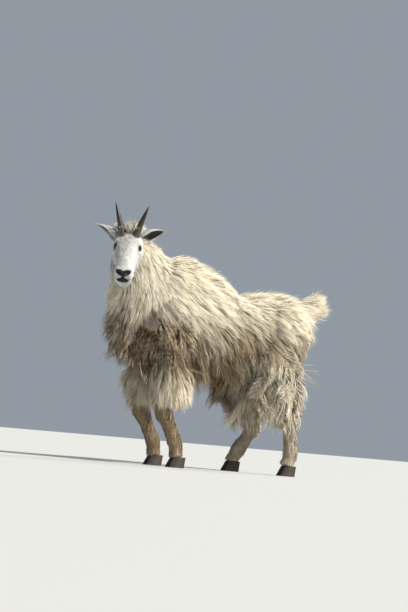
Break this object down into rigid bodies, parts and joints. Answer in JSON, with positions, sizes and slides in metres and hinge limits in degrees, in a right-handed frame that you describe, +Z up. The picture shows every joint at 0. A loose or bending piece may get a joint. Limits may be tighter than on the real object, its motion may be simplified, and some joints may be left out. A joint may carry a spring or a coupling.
{
  "type": "mountain goat",
  "caption": "Standing adult mountain goat in a partly shed long coat, body level and head turned to its left, as a still life-size model.",
  "frame": {"origin": "on the floor, under the centre of the bounding box", "axes": "+Z up, the body faces -Y, +X is the animal's left"},
  "size_m": [0.4072, 1.1552, 1.1058],
  "materials": {
    "long_wool": "long, matte, creamy white to dull tan wool",
    "short_face_hair": "short, matte white hair",
    "leg_hair": "short, matte tan hair",
    "ear_skin": "short hair over thin skin",
    "horn": "dark, lightly ringed keratin",
    "hoof": "dull black keratin",
    "eye": "wet, very dark brown"
  },
  "bodies": {
    "root": {"head": "short_face_hair", "left_ear": "ear_skin", "left_eye": "eye", "left_fore_hoof": "hoof", "left_fore_leg": "long_wool", "left_fore_shank": "leg_hair", "left_hind_hoof": "hoof", "left_hind_leg": "long_wool", "left_hind_shank": "leg_hair", "left_horn": "horn", "neck": "long_wool", "right_ear": "ear_skin", "right_eye": "eye", "right_fore_hoof": "hoof", "right_fore_leg": "long_wool", "right_fore_shank": "leg_hair", "right_hind_hoof": "hoof", "right_hind_leg": "long_wool", "right_hind_shank": "leg_hair", "right_horn": "horn", "tail": "long_wool", "torso": "long_wool"}
  },
  "joints": []
}
